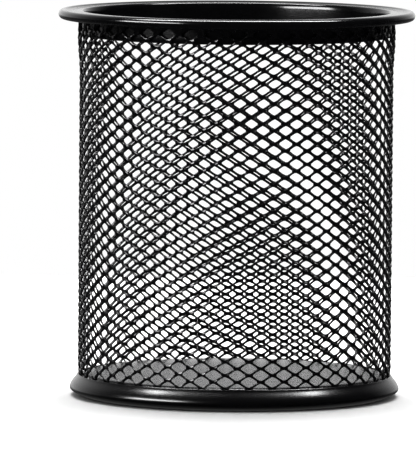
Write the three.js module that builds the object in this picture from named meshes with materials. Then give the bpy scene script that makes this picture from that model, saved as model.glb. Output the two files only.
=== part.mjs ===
// A desk pen cup: a sleeve of expanded steel mesh between a rolled rim and a flared foot,
// closed below by a raised floor. Millimetres, +Z up, origin at the centre of the base.

import * as THREE from 'three';

// Overall sizes.
const HEIGHT = 93.4;
const RIM_DIAMETER = 86;
const FOOT_DIAMETER = 79.5;
const PRESSED_SHEET = 0.6;
const MESH_SHEET = 0.5;
const TURNING_SEGMENTS = 64;

// Rolled rim.
const BEAD_RADIUS = 1.07;
const COLLAR_DEPTH = 6.2;
const COLLAR_INNER_RADIUS = 36.8;
const CREST_RADIUS = 37.7;
const CREST_DROP = 0.24;
const CURL_START = THREE.MathUtils.degToRad(125);
const CURL_END = THREE.MathUtils.degToRad(-150);

// Flared foot.
const FOOT_HEIGHT = 5.15;
const FOOT_TOP_INNER_RADIUS = 37.45;
const FOOT_WIDEST_HEIGHT = 2.0;
const FOOT_TREAD_OUTER_RADIUS = 34.6;
const FOOT_TREAD_INNER_RADIUS = 33.2;

// A short straight run beside a curve, so that the flat next to it stays exactly flat.
const LEAD_IN = 0.2;

// Raised floor.
const FLOOR_TOP = 5.5;
const FLOOR_SKIRT_RADIUS = 36.45;
const FLOOR_CORNER_RADIUS = 0.8;
const FLOOR_SKIRT_BOTTOM = 1.3;

// Mesh sleeve: rows of diamond openings, each row shifted by half a column from the next.
const COLUMNS = 21;
const ROWS = 25;
const ROW_STEP = 3.25;
const FIRST_ROW_HEIGHT = 8.8;
const OPENING_HALF_WIDTH = 4.4;
const OPENING_HALF_HEIGHT = 2.95;
const SLEEVE_FOOT_RADIUS = 37.2;
const SLEEVE_LOW_RADIUS = 37.8;
const SLEEVE_HIGH_RADIUS = 38.2;
const SLEEVE_BOTTOM = 1.6;
const LOW_RAIL = 5.65;
const PINCHED_BELOW = 5.2;
const HIGH_RAIL = 90.15;
const SLEEVE_TOP = 91.4;

const cup = new THREE.Group();

function powderCoat(color, roughness) {
  return new THREE.MeshStandardMaterial({ color, roughness, metalness: 0.35 });
}

function addPiece(name, geometry, material) {
  const mesh = new THREE.Mesh(geometry, material);
  mesh.name = name;
  cup.add(mesh);
}

// Half the sheet's thickness to each side of a centre line, as one closed outline.
function sheetOutline(centreLine, thickness) {
  const inner = [];
  const outer = [];
  centreLine.forEach((point, i) => {
    const before = centreLine[Math.max(i - 1, 0)];
    const after = centreLine[Math.min(i + 1, centreLine.length - 1)];
    const along = after.clone().sub(before).normalize();
    const across = new THREE.Vector2(-along.y, along.x).multiplyScalar(thickness / 2);
    inner.push(point.clone().add(across));
    outer.push(point.clone().sub(across));
  });
  return [...outer, ...inner.reverse()];
}

function arcPoints(centre, radius, from, to, steps) {
  const points = [];
  for (let i = 0; i <= steps; i++) {
    const angle = from + ((to - from) * i) / steps;
    const spoke = new THREE.Vector2(Math.cos(angle), Math.sin(angle));
    points.push(spoke.multiplyScalar(radius).add(centre));
  }
  return points;
}

function turnedSheet(centreLine, reachesAxis) {
  const outline = sheetOutline(centreLine, PRESSED_SHEET);
  if (!reachesAxis) {
    outline.push(outline[0].clone());
  }
  // A lathe faces outward when its outline runs anticlockwise in the radius-height plane.
  if (THREE.ShapeUtils.area(outline) < 0) {
    outline.reverse();
  }
  const geometry = new THREE.LatheGeometry(outline, TURNING_SEGMENTS);
  return geometry.rotateX(Math.PI / 2);
}

// Collar inside the mesh, bend, shallow flange and an edge rolled under into a bead.
function topRim() {
  const half = PRESSED_SHEET / 2;
  const collarRadius = COLLAR_INNER_RADIUS + half;
  const bendRadius = CREST_RADIUS - collarRadius;
  const crestHeight = HEIGHT - CREST_DROP - half;
  const bendCentre = new THREE.Vector2(CREST_RADIUS, crestHeight - bendRadius);
  const curlRadius = BEAD_RADIUS - half;
  const beadCentre = new THREE.Vector2(RIM_DIAMETER / 2 - BEAD_RADIUS, HEIGHT - BEAD_RADIUS);
  const bend = arcPoints(bendCentre, bendRadius, Math.PI, Math.PI / 2, 3);
  const curl = arcPoints(beadCentre, curlRadius, CURL_START, CURL_END, 7);
  const crest = bend[bend.length - 1];
  const rise = new THREE.Vector2(Math.sin(CURL_START), -Math.cos(CURL_START));
  const flange = new THREE.CubicBezierCurve(
    crest,
    crest.clone().add(new THREE.Vector2(0.95, 0)),
    curl[0].clone().addScaledVector(rise, -0.9),
    curl[0]
  ).getPoints(3);
  const collarEdge = new THREE.Vector2(collarRadius, HEIGHT - COLLAR_DEPTH);
  return turnedSheet([collarEdge, ...bend, ...flange.slice(1, -1), ...curl], false);
}

// A band outside the mesh that flares out and turns under to a flat tread.
function footRing() {
  const half = PRESSED_SHEET / 2;
  const top = new THREE.Vector2(FOOT_TOP_INNER_RADIUS + half, FOOT_HEIGHT);
  const widest = new THREE.Vector2(FOOT_DIAMETER / 2 - half, FOOT_WIDEST_HEIGHT);
  const tread = new THREE.Vector2(FOOT_TREAD_OUTER_RADIUS, half);
  const treadCurveEnd = new THREE.Vector2(tread.x + LEAD_IN, half);
  const flare = new THREE.CubicBezierCurve(
    top,
    new THREE.Vector2(top.x + 0.1, top.y - 0.6),
    new THREE.Vector2(widest.x, widest.y + 1.2),
    widest
  ).getPoints(4);
  const turnUnder = new THREE.CubicBezierCurve(
    widest,
    new THREE.Vector2(widest.x, widest.y - 0.5),
    new THREE.Vector2(tread.x + 2.6, tread.y),
    treadCurveEnd
  ).getPoints(5);
  const innerEdge = new THREE.Vector2(FOOT_TREAD_INNER_RADIUS, half);
  return turnedSheet([...flare, ...turnUnder.slice(1), tread, innerEdge], false);
}

// A flat plate whose edge is turned down inside the mesh.
function floorPan() {
  const half = PRESSED_SHEET / 2;
  const skirtRadius = FLOOR_SKIRT_RADIUS - half;
  const cornerCentre = new THREE.Vector2(
    skirtRadius - FLOOR_CORNER_RADIUS,
    FLOOR_TOP - half - FLOOR_CORNER_RADIUS
  );
  const corner = arcPoints(cornerCentre, FLOOR_CORNER_RADIUS, Math.PI / 2, 0, 3);
  const centre = new THREE.Vector2(0, FLOOR_TOP - half);
  const plateEdge = new THREE.Vector2(cornerCentre.x - LEAD_IN, FLOOR_TOP - half);
  const skirtEdge = new THREE.Vector2(skirtRadius, FLOOR_SKIRT_BOTTOM);
  return turnedSheet([centre, plateEdge, ...corner, skirtEdge], true);
}

function sleeveRadius(height) {
  if (height <= PINCHED_BELOW) {
    return SLEEVE_FOOT_RADIUS;
  }
  const share = (height - LOW_RAIL) / (SLEEVE_TOP - LOW_RAIL);
  return THREE.MathUtils.lerp(SLEEVE_LOW_RADIUS, SLEEVE_HIGH_RADIUS, share);
}

// The sleeve's outer and inner skins share one numbering: the inner skin follows the outer.
// Its corners are the four corners of every opening, then plain rings below and above them.
function meshSleeve() {
  const columnAngle = (2 * Math.PI) / COLUMNS;
  const halfWidthAngle = OPENING_HALF_WIDTH / SLEEVE_LOW_RADIUS;
  const ringSize = 2 * COLUMNS;
  const lowRings = [SLEEVE_BOTTOM, PINCHED_BELOW, LOW_RAIL];
  const highRings = [HIGH_RAIL, SLEEVE_TOP];
  const corners = [];
  const faces = [];

  const wrap = (column) => (column + COLUMNS) % COLUMNS;
  const opening = (row, column) => 4 * (row * COLUMNS + wrap(column));
  const left = (row, column) => opening(row, column);
  const bottom = (row, column) => opening(row, column) + 1;
  const right = (row, column) => opening(row, column) + 2;
  const top = (row, column) => opening(row, column) + 3;
  const firstRing = 4 * ROWS * COLUMNS;
  const onRing = (ring, step) => firstRing + ring * ringSize + ((step + ringSize) % ringSize);

  for (let row = 0; row < ROWS; row++) {
    for (let column = 0; column < COLUMNS; column++) {
      const angle = (column + (row % 2) / 2) * columnAngle;
      const height = FIRST_ROW_HEIGHT + row * ROW_STEP;
      corners.push([angle - halfWidthAngle, height], [angle, height - OPENING_HALF_HEIGHT]);
      corners.push([angle + halfWidthAngle, height], [angle, height + OPENING_HALF_HEIGHT]);
    }
  }
  for (const height of [...lowRings, ...highRings]) {
    for (let step = 0; step < ringSize; step++) {
      corners.push([(step * columnAngle) / 2, height]);
    }
  }

  // Strands and the bonds between them.
  const lowRail = lowRings.length - 1;
  const highRail = lowRings.length;
  const lastRow = ROWS - 1;
  for (let row = 0; row < ROWS; row++) {
    for (let column = 0; column < COLUMNS; column++) {
      const after = column + (row % 2);
      const betweenStep = 2 * column + (row % 2) + 1;
      const below = row === 0 ? onRing(lowRail, betweenStep) : top(row - 1, after);
      const above = row === lastRow ? onRing(highRail, betweenStep) : bottom(row + 1, after);
      faces.push([right(row, column), below, left(row, column + 1), above]);
      if (row < lastRow) {
        faces.push([top(row, column), right(row, column), bottom(row + 1, after), left(row + 1, after)]);
        const before = after - 1;
        faces.push([top(row, column), right(row + 1, before), bottom(row + 1, before), left(row, column)]);
      }
    }
  }

  // Plain bands that join the first and last rows of openings to the rings next to them.
  for (let column = 0; column < COLUMNS; column++) {
    const low = 2 * column;
    const high = 2 * column + (lastRow % 2);
    faces.push([onRing(lowRail, low - 1), onRing(lowRail, low), bottom(0, column), left(0, column)]);
    faces.push([onRing(lowRail, low), onRing(lowRail, low + 1), right(0, column), bottom(0, column)]);
    faces.push([
      left(lastRow, column), top(lastRow, column), onRing(highRail, high), onRing(highRail, high - 1)
    ]);
    faces.push([
      top(lastRow, column), right(lastRow, column), onRing(highRail, high + 1), onRing(highRail, high)
    ]);
  }
  const bands = [[0, 1], [1, 2], [highRail, highRail + 1]];
  for (const [lower, upper] of bands) {
    for (let step = 0; step < ringSize; step++) {
      faces.push([
        onRing(lower, step), onRing(lower, step + 1), onRing(upper, step + 1), onRing(upper, step)
      ]);
    }
  }

  // Edges through the sheet's thickness: round each opening, and at both ends of the sleeve.
  const edges = [];
  for (let row = 0; row < ROWS; row++) {
    for (let column = 0; column < COLUMNS; column++) {
      const loop = [left, bottom, right, top].map((corner) => corner(row, column));
      loop.forEach((corner, i) => edges.push([corner, loop[(i + 1) % 4]]));
    }
  }
  const topRing = lowRings.length + highRings.length - 1;
  for (let step = 0; step < ringSize; step++) {
    edges.push([onRing(0, step + 1), onRing(0, step)]);
    edges.push([onRing(topRing, step), onRing(topRing, step + 1)]);
  }

  const positions = [];
  for (const inset of [0, MESH_SHEET]) {
    for (const [angle, height] of corners) {
      const radius = sleeveRadius(height) - inset;
      positions.push(radius * Math.cos(angle), radius * Math.sin(angle), height);
    }
  }
  const indices = [];
  const inner = (corner) => corner + corners.length;
  const addQuad = (a, b, c, d) => indices.push(a, b, c, a, c, d);
  for (const [a, b, c, d] of faces) {
    addQuad(a, b, c, d);
    addQuad(inner(a), inner(d), inner(c), inner(b));
  }
  for (const [a, b] of edges) {
    addQuad(a, b, inner(b), inner(a));
  }
  const geometry = new THREE.BufferGeometry();
  geometry.setAttribute('position', new THREE.Float32BufferAttribute(positions, 3));
  geometry.setIndex(indices);
  geometry.computeVertexNormals();
  return geometry;
}

addPiece('top_rim', topRim(), powderCoat(0x202125, 0.35));
addPiece('mesh_wall', meshSleeve(), powderCoat(0x17181a, 0.45));
addPiece('foot_ring', footRing(), powderCoat(0x1c1d20, 0.38));
addPiece('floor_pan', floorPan(), powderCoat(0x1f2023, 0.4));

export default cup;
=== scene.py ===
"""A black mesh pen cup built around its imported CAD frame.

The four CAD pieces are replaced by finer ones: a sleeve of expanded metal, a rolled rim, a flared
foot and a raised floor plate. Shapes are worked out in millimetres and written in metres.
"""
import math
from functools import partial

import bpy
import numpy as np
from mathutils import Matrix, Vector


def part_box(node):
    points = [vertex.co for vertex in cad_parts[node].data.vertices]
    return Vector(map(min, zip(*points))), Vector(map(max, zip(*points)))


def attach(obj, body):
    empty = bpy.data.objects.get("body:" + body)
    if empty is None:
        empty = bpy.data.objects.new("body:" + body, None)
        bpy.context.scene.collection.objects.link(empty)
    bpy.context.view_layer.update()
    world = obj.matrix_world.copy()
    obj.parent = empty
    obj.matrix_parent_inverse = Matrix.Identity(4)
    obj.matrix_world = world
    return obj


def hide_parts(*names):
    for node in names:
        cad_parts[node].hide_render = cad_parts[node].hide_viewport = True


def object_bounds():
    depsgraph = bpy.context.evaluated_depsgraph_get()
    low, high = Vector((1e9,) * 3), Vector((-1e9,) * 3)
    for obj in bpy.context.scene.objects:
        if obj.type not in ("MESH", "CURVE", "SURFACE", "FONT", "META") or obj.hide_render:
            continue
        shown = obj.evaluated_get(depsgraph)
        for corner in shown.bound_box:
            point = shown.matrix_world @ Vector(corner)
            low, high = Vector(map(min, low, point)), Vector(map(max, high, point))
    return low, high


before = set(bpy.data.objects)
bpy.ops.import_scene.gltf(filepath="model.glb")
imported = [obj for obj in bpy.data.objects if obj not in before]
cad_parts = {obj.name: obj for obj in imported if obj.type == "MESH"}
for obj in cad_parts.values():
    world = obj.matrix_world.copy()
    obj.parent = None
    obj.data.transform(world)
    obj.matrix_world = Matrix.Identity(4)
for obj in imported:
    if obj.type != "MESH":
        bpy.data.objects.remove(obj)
cad_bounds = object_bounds()

MM = 0.001


def box_mm(node):
    """A CAD node's lowest and highest corner in millimetres."""
    low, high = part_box(node)
    return [c / MM for c in low], [c / MM for c in high]


RIM_LOW, RIM_HIGH = box_mm("top_rim")
WALL_LOW, WALL_HIGH = box_mm("mesh_wall")
FOOT_LOW, FOOT_HIGH = box_mm("foot_ring")
FLOOR_LOW, FLOOR_HIGH = box_mm("floor_pan")

# Sheet metal.
PRESSED_SHEET = 0.6
STRAND_DEPTH = 0.36
RING_SEGMENTS = 288
END_CAP_STEPS = 6

# Rolled rim: collar, tight bend, shallow flange and curled bead. Angles are in degrees.
RIM_RADIUS = RIM_HIGH[0]
RIM_TOP = RIM_HIGH[2]
BEAD_RADIUS = 1.12
CREST_RADIUS = 37.44
CREST_DROP = 0.24
BEND_HEIGHT = 1.0
COLLAR_INNER_RADIUS = 36.8
CURL_START = 125
CURL_END = -150
FLANGE_HANDLES = (0.95, 0.9)

# Flared foot.
FOOT_TOP_INNER_RADIUS = 37.45
FOOT_WIDEST_HEIGHT = 2.0
TREAD_OUTER_RADIUS = 34.6
TREAD_INNER_RADIUS = 33.2

# Raised floor plate with its edge turned down.
FLOOR_CORNER_RADIUS = 0.8

# Expanded-metal sleeve. Rows of openings alternate by half a column; the lattice leans slightly,
# and three narrower columns close it at the side where a rolled sheet meets itself.
COLUMNS = 42
COLUMN_ANGLE = 8.649
FIRST_ANGLE = -3.567
REGULAR_FROM = -9
REGULAR_TO = 30
ROW_STEP = 3.2335 / 2
FIRST_ROW = -2
LAST_ROW = 51
ROWS = LAST_ROW - FIRST_ROW + 1
ROW_ZERO_HEIGHT = 7.05
LEAN_PER_MM = -0.0072
DROP_PER_DEGREE = -0.0022
OUT_OF_LEVEL = 0.1
LEAN_MIDDLE_HEIGHT = 49
LATTICE_RADIUS = 37.7
STRAND_TILT = 0.13
EDGE_ROUNDING = 1.05
OPENING = [
    (-2.05, 0.05), (-2.05, -0.05), (-0.9, -0.86), (-0.22, -1.2), (0.22, -1.2), (0.9, -0.86),
    (2.05, -0.05), (2.05, 0.05), (0.9, 0.86), (0.22, 1.2), (-0.22, 1.2), (-0.9, 0.86),
]
LAYERS = 3
WOBBLE = 0.012
WOBBLE_SEED = 11
WALL_MIDDLE_RADIUS = 37.55
WALL_TOP_MIDDLE_RADIUS = 38.0
WALL_PINCHED_RADIUS = 36.95
PINCH_BELOW, PINCH_ABOVE = 0.4, 0.9
SPREAD_START, SPREAD_END = 9, 0.5

# Plain selvedges below and above the openings. Each ring repeats these places in every column,
# as shares of its width: four in line with an opening's middle, four with the gap beside it.
RING_PLACES = [-0.105, -0.035, 0.035, 0.105, 0.351, 0.448, 0.552, 0.649]
RING_POINTS = len(RING_PLACES)
RAIL_OFFSET = 1.6
LOW_RAIL, HIGH_RAIL = 1, 2

# Powder coat: noise scales and tones.
TONE_SCALE = 55
GRAIN_SCALE = 2600
PEEL_SCALE = 900
DEEP_BLACK = (0.003, 0.003, 0.0035)
SOFT_BLACK = (0.006, 0.006, 0.007)
PLATE_DARK = (0.004, 0.004, 0.005)
PLATE_LIGHT = (0.008, 0.008, 0.0095)

# Studio, in metres, degrees and watts. The world's levels are those that the cup mirrors.
STUDIO_FLOOR_REACH = 0.32
DARK_FRONT, BRIGHT_BACK = 0.016, 1.35
ZENITH_SHARE = 0.1
UNDER_SHARE = 0.15
CAMERA_DISTANCE = 1.9084
CAMERA_HEIGHT = 0.2007
CAMERA_PAN, CAMERA_TILT, CAMERA_ROLL = 0.198, -4.8095, 0.420
CAMERA_LENS = 620.4


def smoothstep(low, high, value):
    share = min(max((value - low) / (high - low), 0.0), 1.0)
    return share * share * (3 - 2 * share)


# ---------------------------------------------------------------- materials

def powder_coat(name, dark, light, roughness_low, roughness_high, peel_height):
    """Black powder coat: a faint orange-peel surface, fine grain in its gloss, and cloudy tone."""
    material = bpy.data.materials.new(name)
    material.use_nodes = True
    tree = material.node_tree
    nodes, links = tree.nodes, tree.links
    shader = nodes["Principled BSDF"]
    shader.inputs["IOR"].default_value = 1.4
    place = nodes.new("ShaderNodeTexCoord")

    cloud = nodes.new("ShaderNodeTexNoise")
    cloud.inputs["Scale"].default_value = TONE_SCALE
    cloud.inputs["Detail"].default_value = 4
    tone = nodes.new("ShaderNodeMix")
    tone.data_type = "RGBA"
    tone.inputs["A"].default_value = (*dark, 1)
    tone.inputs["B"].default_value = (*light, 1)
    links.new(place.outputs["Object"], cloud.inputs["Vector"])
    links.new(cloud.outputs["Fac"], tone.inputs["Factor"])
    links.new(tone.outputs["Result"], shader.inputs["Base Color"])

    grain = nodes.new("ShaderNodeTexNoise")
    grain.inputs["Scale"].default_value = GRAIN_SCALE
    grain.inputs["Detail"].default_value = 3
    gloss = nodes.new("ShaderNodeMapRange")
    gloss.inputs["From Min"].default_value = 0.3
    gloss.inputs["From Max"].default_value = 0.7
    gloss.inputs["To Min"].default_value = roughness_low
    gloss.inputs["To Max"].default_value = roughness_high
    links.new(place.outputs["Object"], grain.inputs["Vector"])
    links.new(grain.outputs["Fac"], gloss.inputs["Value"])
    links.new(gloss.outputs["Result"], shader.inputs["Roughness"])

    peel = nodes.new("ShaderNodeTexNoise")
    peel.inputs["Scale"].default_value = PEEL_SCALE
    peel.inputs["Detail"].default_value = 1.5
    bump = nodes.new("ShaderNodeBump")
    bump.inputs["Strength"].default_value = 1.0
    bump.inputs["Distance"].default_value = peel_height * MM
    links.new(place.outputs["Object"], peel.inputs["Vector"])
    links.new(peel.outputs["Fac"], bump.inputs["Height"])
    links.new(bump.outputs["Normal"], shader.inputs["Normal"])
    return material


# ---------------------------------------------------------------- turned sheet pieces

def add_piece(name, points, faces, material, node, slot):
    """A smooth mesh from points in millimetres that stands for a CAD node."""
    mesh = bpy.data.meshes.new(name)
    mesh.from_pydata([tuple(c * MM for c in point) for point in points], [], faces)
    mesh.shade_smooth()
    mesh.materials.append(material)
    piece = bpy.data.objects.new(name, mesh)
    bpy.context.scene.collection.objects.link(piece)
    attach(piece, "root")
    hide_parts(node)
    return piece


def arc(centre, radius, start, end, steps):
    """Points on an arc from one angle to another, in degrees."""
    angles = [math.radians(start + (end - start) * i / steps) for i in range(steps + 1)]
    return [(centre[0] + radius * math.cos(a), centre[1] + radius * math.sin(a)) for a in angles]


def bezier(a, b, c, d, steps):
    """Points on a cubic curve, both ends included."""
    line = []
    for i in range(steps + 1):
        t = i / steps
        weights = ((1 - t) ** 3, 3 * t * (1 - t) ** 2, 3 * t * t * (1 - t), t ** 3)
        line.append(tuple(sum(w * p[k] for w, p in zip(weights, (a, b, c, d))) for k in (0, 1)))
    return line


def thick_outline(centre_line, round_start=True):
    """A closed outline half a sheet to each side of a centre line, with rounded ends."""
    half = PRESSED_SHEET / 2
    last = len(centre_line) - 1
    right, left, directions = [], [], []
    for i, (r, z) in enumerate(centre_line):
        before, after = centre_line[max(i - 1, 0)], centre_line[min(i + 1, last)]
        angle = math.atan2(after[1] - before[1], after[0] - before[0])
        directions.append(math.degrees(angle))
        right.append((r + half * math.sin(angle), z - half * math.cos(angle)))
        left.append((r - half * math.sin(angle), z + half * math.cos(angle)))
    end_cap = arc(centre_line[-1], half, directions[-1] - 90, directions[-1] + 90, END_CAP_STEPS)
    start_cap = arc(centre_line[0], half, directions[0] + 90, directions[0] + 270, END_CAP_STEPS)
    outline = right[:-1] + end_cap + left[-2:0:-1]
    return outline[1:] + start_cap if round_start else [right[0]] + outline[1:] + [left[0]]


def turned_ring(outline):
    """A closed outline turned about the cup's axis."""
    count = len(outline)
    points, faces = [], []
    for i in range(RING_SEGMENTS):
        angle = 2 * math.pi * i / RING_SEGMENTS
        points += [(r * math.cos(angle), r * math.sin(angle), z) for r, z in outline]
    for i in range(RING_SEGMENTS):
        here, there = i * count, (i + 1) % RING_SEGMENTS * count
        for k in range(count):
            after = (k + 1) % count
            faces.append((here + k, there + k, there + after, here + after))
    return points, faces


def rolled_rim():
    half = PRESSED_SHEET / 2
    collar = COLLAR_INNER_RADIUS + half
    crest_height = RIM_TOP - CREST_DROP - half
    bead_centre = (RIM_RADIUS - BEAD_RADIUS, RIM_TOP - BEAD_RADIUS)
    bend = bezier(
        (collar, crest_height - BEND_HEIGHT),
        (collar + 0.02, crest_height - 0.35 * BEND_HEIGHT),
        (CREST_RADIUS - 0.12, crest_height),
        (CREST_RADIUS, crest_height),
        14,
    )
    curl = arc(bead_centre, BEAD_RADIUS - half, CURL_START, CURL_END, 30)
    crest, start = bend[-1], curl[0]
    rise = math.radians(CURL_START - 90)
    inner_handle, outer_handle = FLANGE_HANDLES
    flange = bezier(
        crest,
        (crest[0] + inner_handle, crest[1]),
        (start[0] - outer_handle * math.cos(rise), start[1] - outer_handle * math.sin(rise)),
        start,
        10,
    )
    edge = RIM_LOW[2] + half
    straight = [(collar, edge + (bend[0][1] - edge) * i / 4) for i in range(4)]
    return turned_ring(thick_outline(straight + bend + flange[1:-1] + curl))


def flared_foot():
    half = PRESSED_SHEET / 2
    top = (FOOT_TOP_INNER_RADIUS + half, FOOT_HIGH[2] - half)
    widest = (FOOT_HIGH[0] - half, FOOT_WIDEST_HEIGHT)
    tread = (TREAD_OUTER_RADIUS, half)
    flare = bezier(top, (top[0] + 0.1, top[1] - 0.6), (widest[0], widest[1] + 1.2), widest, 12)
    turn = bezier(widest, (widest[0], widest[1] - 0.5), (tread[0] + 2.6, half), tread, 14)
    inner = (TREAD_INNER_RADIUS + half, half)
    middle = ((tread[0] + inner[0]) / 2, half)
    return turned_ring(thick_outline(flare + turn[1:] + [middle, inner]))


def floor_plate():
    """Rings of points from the axis to the turned-down edge, top and underside."""
    half = PRESSED_SHEET / 2
    skirt = FLOOR_HIGH[0] - half
    level = FLOOR_HIGH[2] - half
    centre = (skirt - FLOOR_CORNER_RADIUS, level - FLOOR_CORNER_RADIUS)
    plate = [(centre[0] * i / 12, level) for i in range(12)]
    corner = arc(centre, FLOOR_CORNER_RADIUS, 90, 0, 8)
    line = plate + corner + [(skirt, FLOOR_LOW[2] + half)]
    outline = thick_outline(line, round_start=False)
    count = len(outline)
    points, faces = [], []
    for i in range(RING_SEGMENTS):
        angle = 2 * math.pi * i / RING_SEGMENTS
        points += [(r * math.cos(angle), r * math.sin(angle), z) for r, z in outline[1:-1]]
    under, over = len(points), len(points) + 1
    points += [(0, 0, outline[0][1]), (0, 0, outline[-1][1])]
    ring = count - 2
    for i in range(RING_SEGMENTS):
        here, there = i * ring, (i + 1) % RING_SEGMENTS * ring
        faces.append((under, there, here))
        faces.append((over, here + ring - 1, there + ring - 1))
        for k in range(ring - 1):
            faces.append((here + k, there + k, there + k + 1, here + k + 1))
    return points, faces


# ---------------------------------------------------------------- expanded-metal sleeve

def column_angle(column):
    """Degrees round the cup, from the side that faces the viewer, of a column position."""
    column = (column - REGULAR_FROM) % COLUMNS + REGULAR_FROM
    if column <= REGULAR_TO:
        return FIRST_ANGLE + COLUMN_ANGLE * column
    start = FIRST_ANGLE + COLUMN_ANGLE * REGULAR_TO
    end = FIRST_ANGLE + COLUMN_ANGLE * REGULAR_FROM + 360
    share = (column - REGULAR_TO) / (REGULAR_FROM + COLUMNS - REGULAR_TO)
    return start + (end - start) * share


def column_drop(column):
    """How far the lattice stands above its level at a column position."""
    level = OUT_OF_LEVEL * math.sin(math.radians(column_angle(column)))
    column = (column - REGULAR_FROM) % COLUMNS + REGULAR_FROM
    if column <= REGULAR_TO:
        return level + DROP_PER_DEGREE * column_angle(column)
    start = DROP_PER_DEGREE * column_angle(REGULAR_TO)
    end = DROP_PER_DEGREE * column_angle(REGULAR_FROM)
    share = (column - REGULAR_TO) / (REGULAR_FROM + COLUMNS - REGULAR_TO)
    return level + start + (end - start) * share


def wall_radius(height):
    """The sheet's middle: pinched inside the foot, and spread over the collar at the top."""
    foot = FOOT_HIGH[2]
    collar = RIM_LOW[2]
    pinch = smoothstep(foot - PINCH_BELOW, foot + PINCH_ABOVE, height)
    spread = smoothstep(collar - SPREAD_START, collar - SPREAD_END, height)
    radius = WALL_PINCHED_RADIUS
    radius += (WALL_MIDDLE_RADIUS - WALL_PINCHED_RADIUS) * pinch
    return radius + (WALL_TOP_MIDDLE_RADIUS - WALL_MIDDLE_RADIUS) * spread


def tilt_share(height):
    """The strands stand out at a slant, but are pressed flat where the foot holds them."""
    return smoothstep(FOOT_HIGH[2] - 0.2, FOOT_HIGH[2] + 1.5, height)


def sleeve_point(angle, height, lift, depth):
    """A point on the sleeve, its lift out of the sheet and its depth through it included."""
    radius = wall_radius(height) + lift * tilt_share(height) + depth
    turn = math.radians(angle)
    return (radius * math.sin(turn), -radius * math.cos(turn), height)


def row_height(row):
    return ROW_ZERO_HEIGHT + (row + FIRST_ROW) * ROW_STEP


def opening_points():
    """Every opening's corners, row by row, each on the outer skin, in the middle and on the inner."""
    degrees_per_mm = math.degrees(1 / LATTICE_RADIUS)
    layers = (
        (STRAND_DEPTH / 2, EDGE_ROUNDING),
        (0.0, 1.0),
        (-STRAND_DEPTH / 2, EDGE_ROUNDING),
    )
    rng = np.random.default_rng(WOBBLE_SEED)
    points = []
    for row in range(ROWS):
        for column in range(COLUMNS):
            place = column + (row % 2) / 2
            height = row_height(row) + column_drop(place)
            lean = LEAN_PER_MM * (height - LEAN_MIDDLE_HEIGHT)
            angle = column_angle(place) + lean
            wobble = rng.normal(0, WOBBLE, (len(OPENING), 2))
            for (u, v), (du, dv) in zip(OPENING, wobble):
                for depth, spread in layers:
                    across, up = u * spread + du, v * spread + dv
                    turn = angle + across * degrees_per_mm
                    points.append(sleeve_point(turn, height + up, -STRAND_TILT * up, depth))
    return points


def selvedge_points():
    """Two rings below the openings and two above them, each point on the outer and inner skin."""
    top_shift = (ROWS - 1) % 2 / 2
    rings = (
        (None, WALL_LOW[2], 0),
        (row_height(0), -RAIL_OFFSET, 0),
        (row_height(ROWS - 1), RAIL_OFFSET, top_shift),
        (None, WALL_HIGH[2], top_shift),
    )
    points = []
    for base, height, shift in rings:
        for column in range(COLUMNS):
            for offset in RING_PLACES:
                place = column + shift + offset
                z = height if base is None else base + column_drop(place) + height
                lean = LEAN_PER_MM * (z - LEAN_MIDDLE_HEIGHT)
                for depth in (STRAND_DEPTH / 2, -STRAND_DEPTH / 2):
                    points.append(sleeve_point(column_angle(place) + lean, z, 0, depth))
    return points


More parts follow.
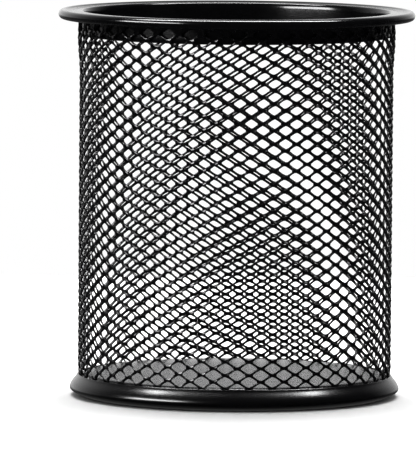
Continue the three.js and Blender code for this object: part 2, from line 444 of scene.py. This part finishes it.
def sleeve_faces():
    """The strands between the openings, the openings' cut sides, and the selvedges.

    An opening's corners are numbered anticlockwise seen from outside: 0 and 1 are its left tip, 3 and
    4 its lowest corners, 6 and 7 its right tip, and 9 and 10 its highest.
    """
    sides = len(OPENING)
    first_ring = ROWS * COLUMNS * sides * LAYERS
    ring_size = COLUMNS * RING_POINTS
    half_ring = RING_POINTS // 2
    faces = []

    def at(row, column, k):
        """An opening's corner, as a function from layer to point number."""
        first = ((row * COLUMNS + column % COLUMNS) * sides + k) * LAYERS
        return lambda layer: first + layer

    def rail(ring, column, j):
        """A point on a selvedge ring, which has an outer and an inner skin but no middle."""
        first = first_ring + (ring * ring_size + (column * RING_POINTS + j) % ring_size) * 2
        return lambda layer: first + layer // 2

    def both(*quad):
        """A quad on the outer skin and its match on the inner skin."""
        faces.append([pick(0) for pick in quad])
        faces.append([pick(2) for pick in reversed(quad)])

    for row in range(ROWS):
        odd = row % 2
        for column in range(COLUMNS):
            here = partial(at, row, column)
            beside = partial(at, row, column + 1)
            if row < ROWS - 1:
                above = partial(at, row + 1, column + odd)
                above_left = partial(at, row + 1, column - 1 + odd)
                both(here(8), here(7), above(2), above(1))
                both(here(11), above_left(6), above_left(5), here(0))
            else:
                above = lambda k: rail(HIGH_RAIL, column, half_ring + k - 2)
            if row > 0:
                below = partial(at, row - 1, column + odd)
            else:
                below = lambda k: rail(LOW_RAIL, column, half_ring + sides - 1 - k)
            both(here(7), here(6), below(11), above(2))
            both(above(2), below(11), below(10), above(3))
            both(above(3), below(10), below(9), above(4))
            both(above(4), below(9), below(8), above(5))
            both(above(5), below(8), beside(1), beside(0))
            for k in range(sides):
                corner, after = here(k), here((k + 1) % sides)
                for layer in (0, 1):
                    faces.append((corner(layer), after(layer), after(layer + 1), corner(layer + 1)))

    for column in range(COLUMNS):
        low = partial(rail, LOW_RAIL, column)
        high = partial(rail, HIGH_RAIL, column)
        first = partial(at, 0, column)
        last = partial(at, ROWS - 1, column)
        for k in range(3):
            both(low(k), low(k + 1), first(3 + k), first(2 + k))
            both(last(11 - k), last(10 - k), high(k + 1), high(k))
        both(low(3), low(4), first(6), first(5))
        both(low(-1), low(0), first(2), first(1))
        both(last(8), last(7), high(4), high(3))
        both(last(11), high(0), high(-1), last(0))
    for ring in (0, HIGH_RAIL):
        for j in range(ring_size):
            both(rail(ring, 0, j), rail(ring, 0, j + 1), rail(ring + 1, 0, j + 1), rail(ring + 1, 0, j))
    for j in range(ring_size):
        low_here, low_next = rail(0, 0, j), rail(0, 0, j + 1)
        high_here, high_next = rail(HIGH_RAIL + 1, 0, j), rail(HIGH_RAIL + 1, 0, j + 1)
        faces.append((low_next(0), low_here(0), low_here(2), low_next(2)))
        faces.append((high_here(0), high_next(0), high_next(2), high_here(2)))
    return faces


def mesh_sleeve():
    return opening_points() + selvedge_points(), sleeve_faces()


# ---------------------------------------------------------------- the cup

rim_coat = powder_coat("rim_powder_coat", DEEP_BLACK, SOFT_BLACK, 0.14, 0.20, 0.003)
mesh_coat = powder_coat("mesh_powder_coat", DEEP_BLACK, SOFT_BLACK, 0.20, 0.28, 0.005)
foot_coat = powder_coat("foot_powder_coat", DEEP_BLACK, SOFT_BLACK, 0.20, 0.27, 0.003)
floor_coat = powder_coat("floor_powder_coat", PLATE_DARK, PLATE_LIGHT, 0.20, 0.30, 0.004)

add_piece("rolled_rim", *rolled_rim(), rim_coat, "top_rim", "rim_coat")
add_piece("expanded_mesh_sleeve", *mesh_sleeve(), mesh_coat, "mesh_wall", "mesh_coat")
add_piece("flared_foot", *flared_foot(), foot_coat, "foot_ring", "foot_coat")
add_piece("floor_plate", *floor_plate(), floor_coat, "floor_pan", "floor_coat")


# ---------------------------------------------------------------- studio

def white_floor():
    mesh = bpy.data.meshes.new("studio_floor")
    reach = STUDIO_FLOOR_REACH
    corners = [(-reach, -reach, 0), (reach, -reach, 0), (reach, reach, 0), (-reach, reach, 0)]
    mesh.from_pydata(corners, [], [(0, 1, 2, 3)])
    material = bpy.data.materials.new("studio_white")
    material.use_nodes = True
    shader = material.node_tree.nodes["Principled BSDF"]
    shader.inputs["Base Color"].default_value = (0.62, 0.62, 0.62, 1)
    shader.inputs["Roughness"].default_value = 0.9
    shader.inputs["Specular IOR Level"].default_value = 0.1
    mesh.materials.append(material)
    floor = bpy.data.objects.new("studio_floor", mesh)
    bpy.context.scene.collection.objects.link(floor)
    floor.visible_glossy = False


def studio_world():
    """Mirrored in the cup it is white behind and dark on the viewer's side; otherwise plain white."""
    world = bpy.data.worlds.new("studio")
    bpy.context.scene.world = world
    world.use_nodes = True
    nodes, links = world.node_tree.nodes, world.node_tree.links
    background = nodes["Background"]
    place = nodes.new("ShaderNodeTexCoord")
    split = nodes.new("ShaderNodeSeparateXYZ")
    links.new(place.outputs["Generated"], split.inputs["Vector"])

    def ramp(source, low, high, bottom, top):
        node = nodes.new("ShaderNodeMapRange")
        node.interpolation_type = "SMOOTHSTEP"
        node.inputs["From Min"].default_value = low
        node.inputs["From Max"].default_value = high
        node.inputs["To Min"].default_value = bottom
        node.inputs["To Max"].default_value = top
        links.new(source, node.inputs["Value"])
        return node.outputs["Result"]

    def combine(operation, a, b):
        node = nodes.new("ShaderNodeMath")
        node.operation = operation
        links.new(a, node.inputs[0])
        links.new(b, node.inputs[1])
        return node.outputs["Value"]

    leaning = nodes.new("ShaderNodeMath")
    leaning.operation = "MULTIPLY_ADD"
    links.new(split.outputs["X"], leaning.inputs[0])
    leaning.inputs[1].default_value = -0.2
    links.new(split.outputs["Y"], leaning.inputs[2])
    behind = ramp(leaning.outputs["Value"], 0.2, 1.05, DARK_FRONT, BRIGHT_BACK)
    below_zenith = ramp(split.outputs["Z"], 0.7, 0.95, 1.0, ZENITH_SHARE)
    above_floor = ramp(split.outputs["Z"], -0.15, 0.0, UNDER_SHARE, 1.0)
    studio = combine("MULTIPLY", combine("MULTIPLY", behind, below_zenith), above_floor)
    path = nodes.new("ShaderNodeLightPath")
    seen = nodes.new("ShaderNodeMix")
    seen.data_type = "FLOAT"
    links.new(path.outputs["Is Glossy Ray"], seen.inputs["Factor"])
    seen.inputs["A"].default_value = 1.0
    links.new(studio, seen.inputs["B"])
    links.new(seen.outputs["Result"], background.inputs["Strength"])
    background.inputs["Color"].default_value = (1, 1, 1, 1)


def softbox(name, direction, distance, width, height, power):
    """A rectangular area light that faces the cup."""
    light = bpy.data.lights.new(name, "AREA")
    light.shape = "RECTANGLE"
    light.size, light.size_y = width, height
    light.energy = power
    lamp = bpy.data.objects.new(name, light)
    bpy.context.scene.collection.objects.link(lamp)
    azimuth, elevation = (math.radians(a) for a in direction)
    low, high = cad_bounds
    centre = (low + high) / 2
    away = (
        math.sin(azimuth) * math.cos(elevation),
        -math.cos(azimuth) * math.cos(elevation),
        math.sin(elevation),
    )
    lamp.location = [c + distance * d for c, d in zip(centre, away)]
    lamp.rotation_euler = (centre - lamp.location).to_track_quat("-Z", "Y").to_euler()
    return lamp


def camera():
    """A long lens in front of the cup and a little above it, turned very slightly on its axis."""
    data = bpy.data.cameras.new("camera")
    data.lens = CAMERA_LENS
    data.clip_end = 50
    eye = bpy.data.objects.new("camera", data)
    bpy.context.scene.collection.objects.link(eye)
    pan = Matrix.Rotation(math.radians(CAMERA_PAN), 4, "Z")
    tilt = Matrix.Rotation(math.radians(90 + CAMERA_TILT), 4, "X")
    roll = Matrix.Rotation(math.radians(CAMERA_ROLL), 4, "Z")
    place = Matrix.Translation((0, -CAMERA_DISTANCE, CAMERA_HEIGHT))
    eye.matrix_world = place @ pan @ tilt @ roll
    bpy.context.scene.camera = eye


white_floor()
studio_world()
softbox("key_softbox", (-58, 14), 1.2, 0.9, 0.4, 36).visible_diffuse = False
softbox("floor_softbox", (180, 72), 1.5, 1.2, 1.2, 45).visible_glossy = False
softbox("overhead_strip", (180, 89), 1.5, 2.4, 0.4, 150).visible_diffuse = False
camera()
bpy.context.scene.view_settings.view_transform = "Standard"
bpy.context.scene.view_settings.gamma = 0.78
